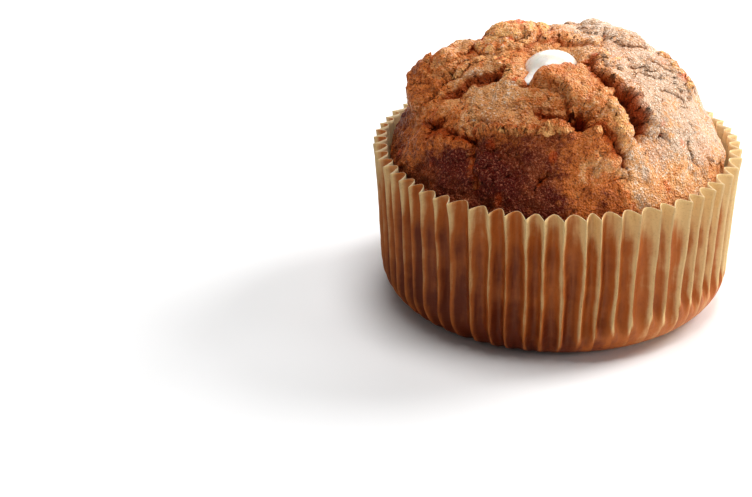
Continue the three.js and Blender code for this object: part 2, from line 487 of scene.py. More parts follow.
FRONT_MARKS = (
    # the crater that the filling was injected through, and what stands round it
    Plate(CRATER_WALL, rise=1.2, edge=1.4, run=5.0, torn=0.5),
    Lobe(((-11.8, 6.2, 6.0, 3.8), (-7.4, 9.0, 4.6, 3.0), (-15.5, 2.0, 5.0, 1.9)), torn=0.95),
    Lobe(((14.6, 8.6, 5.6, 2.4), (10.0, 10.4, 4.6, 1.7)), torn=0.1),
    Lobe(((5.4, -8.4, 2.9, 1.9), (8.8, -8.0, 2.7, 1.9), (11.6, -9.4, 2.0, 1.2)), torn=0.7),
    Split(((-6.4, 9.5), (-5.0, 4.5), (-6.4, 1.0)), depth=1.6, width=1.0, torn=0.5),
    Split(((12.5, -11.6), (10.4, -5.0), (9.4, 2.0), (10.6, 8.5)), depth=1.7, width=0.8, lip=0.4),
    Plate(CRATER_EDGE, rise=-0.9, edge=1.2, run=5.0, torn=0.9),
    Split(CRATER_EDGE, depth=-1.0, width=1.1, torn=1.4),
    Lump((-15.0, -15.5), 3.0, 0.3, torn=0.6),
    # the torn slab in front of the crater, and the valley and the plate behind it
    Split(INNER_VALLEY, depth=1.3, width=1.5, torn=0.05),
    Plate(RIGHT_PLATE_EDGE, rise=3.4, edge=2.0, run=7.0, torn=0.35),
    Split(RIGHT_PLATE_EDGE, depth=-0.5, width=0.7, torn=0.3),
    Split(((-4.6, -11.0), (-6.6, -15.0), (-7.6, -21.0)), depth=2.0, width=1.9, torn=0.4),
    Slab(SLAB_CREST, SLAB_FOOT, rise=2.9, slope=7.0, torn=0.25),
    Lobe(((12.6, -29.6, 3.4, 0.8), (15.8, -31.6, 2.7, 0.9)), torn=0.5),
    Pit((19.8, -27.0), 3.1, 7.5, torn=0.05),
    Lobe(((13.6, -25.2, 1.9, 0.6), (15.4, -28.8, 2.3, 0.7)), torn=0.7),
    Pit((4.8, -30.9), 2.8, 7.0, torn=0.05),
    Split(((-7.0, -24.6), (-3.6, -27.2), (1.4, -29.9), (4.6, -31.2), (9.0, -32.0)),
          depth=2.2, width=1.3, torn=0.1),
    Split(((9.8, -31.6), (13.9, -33.4), (17.2, -35.6), (18.6, -39.4)), depth=3.6, width=1.2, torn=0.5),
    # the plates in front and on the left
    Plate(LEDGE, rise=2.6, edge=1.3, run=8.0, torn=0.5),
    Split(LEDGE, depth=-0.8, width=0.6, torn=0.62),
    Lump((-9.0, -25.5), 5.5, -0.8),
    Split(((-12.0, -29.8), (-6.0, -30.6), (-1.2, -29.6), (1.0, -30.6)), depth=0.9, width=0.9, torn=0.3),
    Lobe(((-2.2, -33.0, 1.8, 0.5), (1.0, -33.2, 1.4, 0.5)), torn=0.7),
    Lump((-14.0, -21.5), 7.0, 0.7, torn=0.2),
    Plate(SHOULDER_EDGE[::-1], rise=-2.1, edge=1.5, run=8.0, torn=0.3),
    Split(SHOULDER_EDGE, depth=3.0, width=1.4, torn=0.0),
    Lobe(((-20.0, 6.0, 7.0, 1.6), (-26.5, 4.0, 7.5, 3.2), (-31.0, 0.5, 7.0, 5.4), (-34.0, 1.0, 5.5, 5.4),
          (-34.0, -5.0, 5.5, 3.0)), torn=0.0),
    Lump((-40.0, 0.0), 6.0, -0.8),
    Plate(((-20.0, 14.0), (-23.0, 8.0), (-21.5, 3.0), (-25.0, -2.0)),
          rise=-1.8, edge=0.6, run=5.0, torn=0.6),
    Plate(((-29.0, 11.0), (-31.5, 5.0), (-30.0, 0.0), (-34.0, -6.0)),
          rise=-1.1, edge=0.6, run=4.0, torn=0.3),
    Plate(((-36.0, 7.0), (-38.0, 1.0), (-36.5, -4.0), (-40.0, -9.0)),
          rise=1.6, edge=0.6, run=3.0, torn=0.0),
    Plate(((-16.0, -6.0), (-21.0, -4.5), (-25.0, -7.0), (-30.0, -6.5)),
          rise=-1.1, edge=0.8, run=4.0, torn=0.8),
    Lump((-20.0, -5.5), 3.6, 0.6, torn=0.7),
    Lump((-26.5, -7.0), 3.0, 0.5, torn=0.6),
    Plate(LEFT_CREASE[::-1], rise=2.2, edge=1.2, run=7.0, torn=0.5),
    Split(LEFT_CREASE, depth=2.2, width=1.2, torn=0.2),
    Pit((-33.6, -21.0), 2.6, 3.4),
    Pit((-22.4, -31.4), 2.2, 3.2),
    Pit((-27.4, -26.4), 1.6, 2.4),
    Split(((-22.4, -32.0), (-23.4, -35.2), (-22.0, -39.8), (-22.4, -44.0)), depth=1.9, width=1.4),
    Pit((-4.0, -44.5), 1.6, 3.0, torn=0.1),
    Pit((23.9, -32.4), 1.0, 1.6, torn=0.1),
    Pit((27.1, -25.8), 1.0, 1.3, torn=0.1),
    Pit((25.2, -18.8), 1.0, 1.2, torn=0.1),
    Pit((15.0, -42.0), 0.9, 1.2, torn=0.1),
    # the peeling edge on the right
    Plate(((35.5, -5.5), (31.0, -3.6), (28.2, -2.6), (25.8, 0.5), (23.6, 6.5)),
          rise=1.4, edge=0.9, run=6.0, torn=0.9),
    Split(((34.0, -5.0), (31.0, -3.6), (28.2, -2.6), (25.8, 0.5), (23.6, 6.5)),
          depth=-1.1, width=0.8, torn=1.0),
    Lump((24.0, -10.0), 8.0, 0.6),
)
BACK_MARKS = (
    Split(((-19.0, 13.0), (-14.0, 19.0), (-15.5, 26.0), (-10.0, 33.0), (-11.0, 41.0)), 2.2, 1.2, lip=0.6),
    Plate(((-14.0, 19.0), (-15.5, 26.0), (-10.0, 33.0), (-11.0, 41.0)), rise=1.3, edge=1.2, run=8.0),
    Split(((2.0, 17.0), (8.0, 21.5), (9.0, 28.0), (17.0, 33.0), (20.0, 41.0)), 2.4, 1.2, lip=0.6),
    Plate(((17.0, 33.0), (9.0, 28.0), (8.0, 21.5), (2.0, 17.0)), rise=1.5, edge=1.2, run=9.0),
    Split(((-14.0, 19.0), (-5.0, 20.5), (2.0, 17.0)), 1.8, 1.1, lip=0.4),
    Split(((20.0, 13.0), (27.0, 17.0), (33.0, 15.0), (41.0, 19.0)), 1.8, 1.1, lip=0.5),
    Lump((14.0, 20.0), 7.0, 1.2),
    Lump((-26.0, 24.0), 8.0, 1.3),
    Lump((-2.0, 30.0), 7.0, 0.9),
    Lump((30.0, 28.0), 7.0, 1.0),
    Pit((-20.0, 36.0), 1.5, 1.6),
    Pit((1.5, 38.0), 1.2, 1.4),
    Pit((33.0, 7.0), 1.3, 1.3),
    Pit((-36.0, 14.0), 1.6, 1.6),
)


# ---------------------------------------------------------------- meshes


def mesh_piece(name: str, points: Array, faces: list[list[int]], material: Material,
               layers: dict[str, Array] | None = None) -> Object:
    """Make a smooth-shaded mesh object at the origin and link it into the scene.

    Args:
        name: Name of the object and its mesh.
        points: Vertices in millimetres, three to a row.
        faces: Vertex numbers of each face.
        material: The finish.
        layers: Values to keep for each vertex, by name.

    Returns:
        The object.
    """
    mesh = bpy.data.meshes.new(name)
    mesh.from_pydata((points * MM).tolist(), [], faces)
    for layer, values in (layers or {}).items():
        attribute = mesh.attributes.new(layer, "FLOAT", "POINT")
        attribute.data.foreach_set("value", np.ascontiguousarray(values, dtype=np.float32))
    mesh.polygons.foreach_set("use_smooth", np.ones(len(mesh.polygons), dtype=bool))
    mesh.materials.append(material)
    piece = bpy.data.objects.new(name, mesh)
    bpy.context.scene.collection.objects.link(piece)
    return piece


def band_faces(rows: Array) -> list[list[int]]:
    """Join rows of vertex numbers, each closed on itself, into quads.

    Args:
        rows: One row of vertex numbers for each ring, going anticlockwise.

    Returns:
        The quads. They face outwards when the rings run from the bottom of an outer wall to its top.
    """
    low, high = rows[:-1], rows[1:]
    quads = np.stack([low, np.roll(low, -1, axis=1), np.roll(high, -1, axis=1), high], axis=-1)
    return quads.reshape(-1, 4).tolist()


def fan_faces(row: Array, pole: int, down: bool = False) -> list[list[int]]:
    """Close a ring with triangles that meet in one point.

    Args:
        row: The ring's vertex numbers, going anticlockwise.
        pole: The vertex number of the point in its middle.
        down: Whether the triangles face down instead of up.

    Returns:
        The triangles.
    """
    following = np.roll(row, -1)
    pair = (following, row) if down else (row, following)
    return np.stack([*pair, np.full_like(row, pole)], axis=-1).tolist()


@dataclass
class DiscGrid:
    """A square grid bent into a disc: ring k holds 8 k evenly spaced points, and ring 0 is the middle."""

    rings: int

    def build(self) -> tuple[Array, Array, list[list[int]], Array]:
        """Lay out the grid by the concentric map: ring = larger coordinate, angle = share along the side.

        Returns:
            Each point's ring number and angle, the quads, and the outer ring's vertex numbers anticlockwise.
        """
        n = self.rings
        a, b = np.meshgrid(np.arange(-n, n + 1), np.arange(-n, n + 1), indexing="ij")
        wide = np.abs(a) >= np.abs(b)
        ring = np.where(wide, a, b).astype(float)
        safe = np.where(ring == 0, 1.0, ring)
        angle = np.where(wide, np.pi / 4 * b / safe, RIGHT_ANGLE - np.pi / 4 * a / safe)
        angle = np.where(ring < 0, angle + np.pi, angle)
        number = np.arange((2 * n + 1) ** 2).reshape(2 * n + 1, -1)
        quads = np.stack([number[:-1, :-1], number[1:, :-1], number[1:, 1:], number[:-1, 1:]], -1)
        sides = (number[-1, n:-1], number[:0:-1, -1], number[0, :0:-1], number[:-1, 0], number[-1, :n])
        return np.abs(ring).ravel(), angle.ravel(), quads.reshape(-1, 4).tolist(), np.concatenate(sides)


class Shader:
    """A node material that reads Object coordinates in metres."""

    def __init__(self, name: str) -> None:
        """Start an empty material.

        Args:
            name: Name of the material.
        """
        self.material = bpy.data.materials.new(name)
        self.material.use_nodes = True
        self.tree = self.material.node_tree
        self.tree.nodes.clear()
        self.place = self.node("ShaderNodeTexCoord").outputs["Object"]

    def node(self, kind: str, inputs: dict | None = None, **settings: object) -> bpy.types.Node:
        """Add a node.

        Args:
            kind: The node's type.
            inputs: Values or sockets for its inputs, by name or number.
            **settings: Properties of the node.

        Returns:
            The node.
        """
        made = self.tree.nodes.new(kind)
        for key, value in settings.items():
            setattr(made, key, value)
        for key, value in (inputs or {}).items():
            if isinstance(value, Socket):
                self.tree.links.new(value, made.inputs[key])
            else:
                made.inputs[key].default_value = value
        return made

    def layer(self, name: str) -> Socket:
        """Read one of the mesh's own layers of values."""
        return self.node("ShaderNodeAttribute", attribute_name=name).outputs["Fac"]

    def noise(self, wavelength: float, detail: float = 3.0, roughness: float = 0.55,
              squash: tuple[float, float, float] | None = None) -> Socket:
        """Read soft noise from 0 to 1.

        Args:
            wavelength: How far apart the broadest lumps are, in millimetres.
            detail: How many finer layers it has.
            roughness: How strong each of them is against the one before.
            squash: What each coordinate is multiplied by first, so that a small number makes long streaks.

        Returns:
            The noise.
        """
        place = self.place
        if squash is not None:
            place = self.node("ShaderNodeMapping", {"Vector": place, "Scale": squash}).outputs[0]
        scale = 1.0 / (wavelength * MM)
        inputs = {"Vector": place, "Scale": scale, "Detail": detail, "Roughness": roughness}
        return self.node("ShaderNodeTexNoise", inputs).outputs["Fac"]

    def cells(self, spacing: float) -> Socket:
        """Read the distance to the nearest of scattered points, a spacing in millimetres apart."""
        inputs = {"Vector": self.place, "Scale": 1.0 / (spacing * MM)}
        return self.node("ShaderNodeTexVoronoi", inputs, feature="F1").outputs["Distance"]

    def span(self, value: Socket, low: float, high: float, to_low: float = 0.0,
             to_high: float = 1.0) -> Socket:
        """Map a value smoothly from one range to another, held at the ends."""
        inputs = {"Value": value, "From Min": low, "From Max": high, "To Min": to_low, "To Max": to_high}
        return self.node("ShaderNodeMapRange", inputs, interpolation_type="SMOOTHSTEP").outputs["Result"]

    def math(self, operation: str, first: object, second: object = 0.5) -> Socket:
        """Work out one step of arithmetic, held between 0 and 1."""
        made = self.node("ShaderNodeMath", {0: first, 1: second}, operation=operation, use_clamp=True)
        return made.outputs[0]

    def mix(self, first: object, second: object, share: object) -> Socket:
        """Blend two colours by a share."""
        return self.node("ShaderNodeMix", {0: share, 6: first, 7: second}, data_type="RGBA").outputs[2]

    def bump(self, height: Socket, depth: float, strength: float = 1.0,
             under: Socket | None = None) -> Socket:
        """Raise a fine relief.

        Args:
            height: Its height, 0 to 1.
            depth: What a height of 1 stands for, in millimetres.
            strength: Share of it that is used.
            under: Another relief that it lies on.

        Returns:
            The bent normal.
        """
        inputs = {"Height": height, "Distance": depth * MM, "Strength": strength}
        if under is not None:
            inputs["Normal"] = under
        return self.node("ShaderNodeBump", inputs).outputs["Normal"]

    def surface(self, **inputs: object) -> Material:
        """Close the material with one Principled shader.

        Args:
            **inputs: Values or sockets, named as the shader's inputs with _ for a space.

        Returns:
            The material.
        """
        shader = self.node("ShaderNodeBsdfPrincipled", {k.replace("_", " "): v for k, v in inputs.items()})
        self.node("ShaderNodeOutputMaterial", {"Surface": shader.outputs[0]})
        return self.material


@dataclass(frozen=True)
class CrustFinish:
    """Browned crust, torn golden crumb and carrot specks, with painted glints, sheen and shade."""

    # the ramp's pale end is mostly a painted sheen on the right flank, its dark end partly painted shade low
    # on the front
    pale: Colour = linear(208, 176, 149)
    tan: Colour = linear(234, 170, 110)
    brown: Colour = linear(212, 122, 56)
    dark: Colour = linear(94, 10, 3)
    crumb: Colour = linear(254, 196, 128)
    crumb_shade: Colour = linear(230, 128, 60)
    # painted shade: red-brown in shallow hollows, near black in deep ones
    painted_hollow_shade: Colour = linear(172, 74, 18)
    deep: Colour = linear(44, 3, 1)
    carrot: Colour = linear(230, 96, 22)
    # the painted shadow specks' colour on pale crust
    speck_shadow_on_pale: Colour = linear(200, 144, 108)
    # painted glints: pale highlight specks on pale crust, pinkish ones on dark crust
    glint: Colour = linear(252, 232, 212)
    painted_glints: Colour = linear(220, 146, 112)
    blotch_size: float = 11.0
    crumb_size: float = 2.6
    mottle_size: float = 1.7
    pebble_size: float = 1.1
    grain_size: float = 0.5
    cell_size: float = 0.45
    pebble_depth: float = 0.42
    cell_depth: float = 0.32

    def build(self) -> Material:
        """Build the material.

        Returns:
            The material.
        """
        s = Shader("toasted_crust")
        broad = s.noise(self.blotch_size, detail=2.0)
        mottle = s.noise(self.mottle_size, detail=4.0, roughness=0.65)
        fine = s.noise(self.grain_size, roughness=0.6)
        # the toast layer holds browning and painted light and shade, from a painted sheen to partly painted
        # shade
        toast_and_painted_light = s.math("ADD", s.layer("toast_and_painted_light"), s.span(mottle, 0.3, 0.7, -0.15, 0.15))
        skin = s.mix(self.pale, self.tan, s.span(toast_and_painted_light, 0.0, 0.25))
        skin = s.mix(skin, self.brown, s.span(toast_and_painted_light, 0.25, 0.55))
        skin = s.mix(skin, self.dark, s.span(toast_and_painted_light, 0.5, 0.95))
        skin = s.mix(skin, self.brown, s.span(broad, 0.45, 0.7, 0.0, 0.3))
        baked = s.noise(self.crumb_size, detail=5.0, roughness=0.7)
        crumb = s.mix(self.crumb_shade, self.crumb, s.span(baked, 0.35, 0.62))
        crumb = s.mix(crumb, self.carrot, s.layer("carrot"))
        torn = s.math("ADD", s.layer("torn"), s.span(mottle, 0.25, 0.75, -0.3, 0.3))
        colour = s.mix(skin, crumb, s.span(torn, 0.35, 0.8))
        colour = s.mix(colour, self.carrot, s.math("MULTIPLY", s.layer("carrot"), 0.4))
        hollow_shade = s.layer("hollow_shade")
        shadow = s.mix(self.speck_shadow_on_pale, self.dark, s.span(toast_and_painted_light, 0.15, 0.6))
        colour = s.mix(colour, shadow, s.span(fine, 0.46, 0.34, 0.0, 0.75))
        # painted glints on the fine grain, most on the pale right flank, none in the hollows
        glint_specks = s.math("MULTIPLY", s.span(fine, 0.54, 0.63), s.span(toast_and_painted_light, 0.1, 0.6, 0.85, 0.4))
        painted_glints = s.mix(self.glint, self.painted_glints, s.span(toast_and_painted_light, 0.1, 0.55))
        colour = s.mix(colour, painted_glints, s.math("MULTIPLY", glint_specks, s.span(hollow_shade, 0.35, 0.1)))
        # painted shade in hollows: red-brown, then near black where deepest
        colour = s.mix(colour, self.painted_hollow_shade, s.span(hollow_shade, 0.08, 0.4, 0.0, 0.9))
        colour = s.mix(colour, self.deep, s.span(hollow_shade, 0.5, 0.95, 0.0, 0.95))
        relief = s.bump(s.noise(self.pebble_size, detail=4.0, roughness=0.7), self.pebble_depth)
        relief = s.bump(s.cells(self.cell_size), self.cell_depth, under=relief)
        gloss = s.span(s.noise(0.6, detail=2.0), 0.35, 0.65, 0.26, 0.5)
        return s.surface(Base_Color=colour, Roughness=gloss, Normal=relief, Specular_IOR_Level=0.42,
                         Specular_Tint=(1.0, 0.7, 0.5, 1.0))


@dataclass(frozen=True)
class PaperFinish:
    """Greaseproof baking paper: pale and dry at its rim, brown and waxy where fat soaked in, with painted
    light and shade on its sides and ridges.
    """

    # dry paper, also the painted light on the right flank and along the ridges
    dry: Colour = linear(226, 192, 140)
    damp: Colour = linear(180, 102, 44)
    soaked: Colour = linear(110, 42, 10)
    inside: Colour = linear(236, 214, 176)
    cloud_size: float = 6.0
    fibre_size: float = 0.5
    crimp_size: float = 1.0 / 0.9

    def build(self) -> Material:
        """Build the material.

        Returns:
            The material.
        """
        s = Shader("baking_paper")
        cloud = s.noise(self.cloud_size)
        fibre = s.noise(self.fibre_size, detail=4.0, roughness=0.7)
        crimp = s.noise(self.crimp_size, roughness=0.5, squash=(0.3, 0.3, 1.0))
        streak = s.noise(self.crimp_size, roughness=0.5, squash=(1.0, 1.0, 0.1))
        # the soak layer holds fat stains and painted light and shade
        soak_and_painted_light = s.math("ADD", s.layer("soak_and_painted_light"), s.span(cloud, 0.3, 0.7, -0.09, 0.09))
        soak_and_painted_light = s.math("ADD", soak_and_painted_light, s.span(streak, 0.35, 0.65, -0.06, 0.06))
        colour = s.mix(self.dry, self.damp, s.span(soak_and_painted_light, 0.0, 0.5))
        colour = s.mix(colour, self.soaked, s.span(soak_and_painted_light, 0.45, 1.0))
        colour = s.mix(colour, self.inside, s.layer("inside"))
        colour = s.mix(colour, self.soaked, s.span(fibre, 0.5, 0.8, 0.0, 0.3))
        relief = s.bump(fibre, depth=0.07, strength=0.8)
        relief = s.bump(crimp, depth=0.2, strength=0.7, under=relief)
        relief = s.bump(streak, depth=0.12, strength=0.5, under=relief)
        gloss = s.span(soak_and_painted_light, 0.2, 0.9, 0.6, 0.42)
        return s.surface(Base_Color=colour, Roughness=gloss, Normal=relief, Specular_IOR_Level=0.4,
                         Specular_Tint=(1.0, 0.86, 0.7, 1.0), Subsurface_Weight=0.15,
                         Subsurface_Radius=(1.0, 0.8, 0.6), Subsurface_Scale=0.001)


@dataclass(frozen=True)
class CreamFinish:
    """Soft white cream: smooth, moist, a little light shining through it."""

    white: Colour = linear(240, 235, 226)
    warm: Colour = linear(236, 224, 200)

    def build(self) -> Material:
        """Build the material.

        Returns:
            The material.
        """
        s = Shader("soft_cream")
        colour = s.mix(self.white, self.warm, s.span(s.noise(4.0, detail=2.0), 0.5, 0.8, 0.0, 0.5))
        relief = s.bump(s.noise(2.4, detail=2.0), depth=0.08, strength=0.5)
        gloss = s.span(s.noise(1.2, detail=1.0), 0.3, 0.7, 0.24, 0.36)
        return s.surface(Base_Color=colour, Roughness=gloss, Normal=relief, Subsurface_Weight=0.25,
                         Subsurface_Radius=(1.0, 0.75, 0.5), Subsurface_Scale=0.003, Coat_Weight=0.2,
                         Coat_Roughness=0.2)


# ---------------------------------------------------------------- the three pieces


@dataclass
class Filling:
    """The cream: a bulb and neck of revolution about the nozzle's line, and a flat bead in the crater."""

    box: Array
    neck_radius: float = 4.2
    bead_radius: float = 6.0
    bead_rise: float = 1.6
    bead_height: float = 4.0
    bead_above_box: float = 0.8
    belly_height: float = 10.0
    neck_start: float = 1.0
    neck_end: float = 14.0
    tail_angle: float = 4.18
    tail_width: float = 0.22
    tail_length: float = 0.9
    tilt: float = 0.3
    around: int = 96
    wall_rings: int = 90
    flare_rings: int = 4
    bead_rings: int = 25

    def __post_init__(self) -> None:
        """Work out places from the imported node's box."""
        self.axis = (self.box[0, :2] + self.box[1, :2]) / 2
        self.bulb_radius = (self.box[1, 0] - self.box[0, 0]) / 2
        self.bottom = self.box[0, 2]
        self.top = self.box[1, 2] + self.bead_above_box
        self.waist = self.top - self.bead_height
        self.floor = self.waist - self.bead_rise

    def wall(self, share: Array, gap: float = 0.0) -> tuple[Array, Array]:
        """Follow the bulb and neck from the bottom to the crater's floor.

        The radius is a half ellipse's for the bulb, blended by smoothstep into the neck's.

        Args:
            share: Share of the height, 0 at the bottom.
            gap: Distance to stay outside it, in millimetres.

        Returns:
            Radii and heights.
        """
        low = self.bottom - gap
        z = low + (self.floor - low) * share
        belly = self.bottom + self.belly_height
        under_belly = np.clip((belly - z) / (belly - low), 0.0, 1.0)
        blend = smoothstep(belly + self.neck_start, belly + self.neck_end, z)
        radius = self.bulb_radius * (1.0 - blend) + self.neck_radius * blend
        return radius * np.sqrt(1.0 - under_belly**2) + gap * (share > 0), z

    def build(self) -> Object:
        """Build the filling as one closed mesh.

        The bead is half an ellipsoid on a flared foot. Its outline is a circle with slow waves of 2 and 3
        lobes, and a bell-shaped tail at its foot. Its top leans to the side.

        Returns:
            The filling.
        """
        wall_r, wall_z = self.wall(np.linspace(0.0, 1.0, self.wall_rings) ** 0.8)
        flare = np.linspace(0.0, 1.0, self.flare_rings + 1)[1:]
        turn = np.linspace(0.0, RIGHT_ANGLE, self.bead_rings + 1)[1:]
        flare_r = self.neck_radius + (self.bead_radius - self.neck_radius) * np.sin(flare * RIGHT_ANGLE)
        flare_z = self.floor + self.bead_rise * flare
        bead_z = self.waist + self.bead_height * np.sin(turn)
        radius = np.concatenate([wall_r, flare_r, self.bead_radius * np.cos(turn)])[1:-1, None]
        z = np.concatenate([wall_z, flare_z, bead_z])[1:-1, None]
        angle = np.arange(self.around) * 2 * np.pi / self.around
        foot = smoothstep(self.floor, self.floor + 0.6, z) * smoothstep(self.waist + 2.2, self.waist, z)
        outline = 1.0 + 0.03 * np.sin(2 * angle + 0.7) + 0.015 * np.sin(3 * angle + 2.0)
        outline = outline + self.tail_length * foot * bell(angle - self.tail_angle, self.tail_width)
        ring = polar(radius * outline, angle, z)
        ring[..., 2] += self.tilt * smoothstep(self.floor, self.top, z) * ring[..., 0] / self.bead_radius
        ring[..., :2] += self.axis
        points = np.concatenate([ring.reshape(-1, 3), [[*self.axis, self.bottom], [*self.axis, self.top]]])
        rows = np.arange(len(points) - 2).reshape(-1, self.around)
        faces = band_faces(rows) + fan_faces(rows[0], len(points) - 2, down=True)
        faces += fan_faces(rows[-1], len(points) - 1)
        return mesh_piece("soft_cream_filling", points, faces, CreamFinish().build())


@dataclass
class Crumb:
    """The baked body: a cracked dome above the case, a plain wall inside it, and the filling's well.

    Places on the crust are unrolled: u is the arc length from the top to the right, v to the back.
    """

    box: Array
    filling: Filling
    dome_top: float = 63.2
    crust_line: float = 30.0
    crust_radius: float = 39.5
    rise_power: float = 1.9
    width_power: float = 2.6
    arc_steps: int = 3000
    well_gap: float = 0.35
    case_room: float = 38.9
    rim_room: float = 4.0
    flake: float = 0.7
    flake_levels: tuple[float, ...] = (-0.22, 0.18)
    flake_edge: float = 0.04
    bowl_edge: tuple[float, float] = (5.2, 8.4)
    calm_edge: tuple[float, float] = (5.0, 8.5)
    rim_blend: float = 9.0
    pebble_spacing: float = 1.15
    pore_spacing: float = 2.6
    shred_spacing: float = 6.5
    settle: float = 1.7
    swelling: float = 0.75
    slope_step: float = 0.25
    corner: float = 8.4
    wall_bottom: float = 37.4
    underside: float = 29.2
    well_rings: int = 14
    top_rings: int = 106
    flank_rings: int = 46
    wall_rings: int = 5
    base_rings: int = 4
    top_share: float = 0.72

    def __post_init__(self) -> None:
        """Work out the dome's arc and the marks' noise."""
        t = np.sin(np.linspace(0.0, RIGHT_ANGLE, self.arc_steps))[::-1]
        self.arc_r = self.crust_radius * (1.0 - t**self.rise_power) ** (1.0 / self.width_power)
        self.arc_z = self.crust_line + (self.dome_top - self.crust_line) * t
        steps = np.hypot(np.diff(self.arc_r), np.diff(self.arc_z))
        self.arc_s = np.concatenate([[0.0], np.cumsum(steps)])
        self.grain = Grain(11)
        self.fine = Grain(23)

    def dome(self, u: Array, v: Array) -> tuple[Array, Array, Array, Array, Array]:
        """Place unrolled coordinates on the smooth dome.

        The dome's section is 1 = t ^ rise_power + (r / crust_radius) ^ width_power, where t is the share of
        its height.

        Args:
            u: Arc length to the right.
            v: Arc length to the back.

        Returns:
            Points, outward normals, tangents down the flank, tangents around, and the ratio of arc length to
            radius.
        """
        s = np.hypot(u, v)
        angle = np.arctan2(v, u)
        r = np.interp(s, self.arc_s, self.arc_r)
        z = np.interp(s, self.arc_s, self.arc_z)
        reach = 0.3
        dr = np.interp(s + reach, self.arc_s, self.arc_r) - np.interp(s - reach, self.arc_s, self.arc_r)
        dz = np.interp(s + reach, self.arc_s, self.arc_z) - np.interp(s - reach, self.arc_s, self.arc_z)
        size = np.hypot(dr, dz)
        near_top = s < 2.0 * reach
        dr, dz = np.where(near_top, 1.0, dr / size), np.where(near_top, 0.0, dz / size)
        stretch = np.where(s > 0.5, s / np.maximum(r, 1e-6), 1.0)
        around = polar(1.0, angle + RIGHT_ANGLE, 0.0)
        return polar(r, angle, z), polar(-dz, angle, dr), polar(dr, angle, dz), around, stretch

    def structure(self, u: Array, v: Array, point: Array) -> Relief:
        """Add up the lumps, plates, cracks, flaps and pits, with edges made ragged by noise.

        Args:
            u: Arc length to the right.
            v: Arc length to the back.
            point: The places on the smooth dome.

        Returns:
            Their summed relief.
        """
        ragged_u, ragged_v = (
            place + EDGE_WANDER.of(self.grain, point + side) + EDGE_TEAR.of(self.grain, point + side)
            for place, side in zip((u, v), EDGE_SIDES)
        )
        height = SWELLS.of(self.grain, point) + LUMPS.of(self.grain, point)
        flaky = FLAKES.of(self.fine, point)
        patchy = smoothstep(-0.1, 0.5, FLAKE_PATCHES.of(self.fine, point))
        for level in self.flake_levels:
            step = smoothstep(level - self.flake_edge, level + self.flake_edge, flaky)
            height += self.flake * patchy * (step - 0.5)
        height -= self.settle * smoothstep(2.0, 16.0, self.arc_s[-1] - np.hypot(u, v))
        torn = np.zeros_like(height)
        hollow_shade = np.zeros_like(height)
        # each mark adds its height, its torn crumb and its painted shade
        for mark in FRONT_MARKS + BACK_MARKS:
            relief = mark.relief(ragged_u, ragged_v)
            height += relief.height
            torn = np.maximum(torn, relief.torn)
            hollow_shade = np.maximum(hollow_shade, relief.hollow_shade)
        away = np.hypot(u - self.filling.axis[0], (v - self.filling.axis[1]) * 1.05)
        bowl = 1.0 - smoothstep(*self.bowl_edge, away + BOWL_EDGE.of(self.grain, point))
        floor = self.filling.floor - 0.1 - point[..., 2]
        height = height * (1.0 - bowl) + floor * bowl
        torn = np.maximum(torn, 0.7 * np.exp(-((away / 8.0) ** 4)))
        return Relief(height, torn, hollow_shade * (1.0 - bowl))

    def skin(self, u: Array, point: Array, torn: Array) -> tuple[Array, Array]:
        """Work out the fine relief: pebbles, creases and pores on the skin, crumbs where it is torn.

        Args:
            u: Arc length to the right.
            point: The places on the smooth dome.
            torn: How torn each place is.

        Returns:
            Heights in millimetres, and how much of a pore each place is.
        """
        crumbly = 0.4 - 1.1 * np.abs(CRUMBS.of(self.grain, point)) + FINE_CRUMBS.of(self.fine, point)
        nearest, second = self.fine.cells(point, self.pebble_spacing)
        pebble = 0.16 * (second - nearest) - 0.1 * nearest
        pores = smoothstep(0.36, 0.2, self.grain.cells(point + 7.0, self.pore_spacing)[0])
        pores = 0.6 * pores * smoothstep(0.1, 0.5, PORE_PATCHES.of(self.fine, point))
        creased = 0.45 * (0.5 - np.abs(CREASES.of(self.fine, point)))
        roughness = 0.6 + 0.65 * smoothstep(4.0, -22.0, u)
        whole = roughness * (SKIN.of(self.grain, point) + creased - 0.18) + pebble - 0.45 * pores
        return torn * 0.75 * crumbly + (1.0 - torn) * whole, pores

    def toasting_and_painted_light(self, u: Array, v: Array, point: Array) -> Array:
        """Work out how dark the crust is: partly the oven's browning, partly painted light and shade.

        Args:
            u: Arc length to the right.
            v: Arc length to the back.
            point: The places on the smooth dome.

        Returns:
            Shares from 0, pale, to 1, dark.
        """
        toast_and_painted_light = 0.36 + TOAST.of(self.grain, point) + 0.22 * smoothstep(38.0, 54.0, np.hypot(u, v))
        # painted shade makes it darker low on the front and on the left, a painted sheen makes it paler on
        # the right flank, and it is again darker below that
        toast_and_painted_light += 0.55 * smoothstep(-29.0, -36.0, v + 0.1 * u) * smoothstep(13.0, -5.0, u)
        toast_and_painted_light += 0.2 * smoothstep(-22.0, -34.0, u)
        toast_and_painted_light -= 0.36 * smoothstep(7.0, 16.0, u + 0.35 * (v + 18.0))
        toast_and_painted_light += 0.1 * smoothstep(-24.0, -38.0, v) * smoothstep(8.0, 22.0, u)
        # the plate in the middle is paler, and the torn slab beside it darker
        toast_and_painted_light -= 0.2 * bell(u + 15.0, 8.0) * bell(v + 19.0, 9.0)
        toast_and_painted_light += 0.2 * bell(u - 6.0, 10.0) * bell(v + 25.0, 7.0)
        least = 0.24 * smoothstep(12.0, 5.0, u) * smoothstep(8.0, 2.0, v)
        return np.clip(np.maximum(toast_and_painted_light, least), 0.0, 1.0)

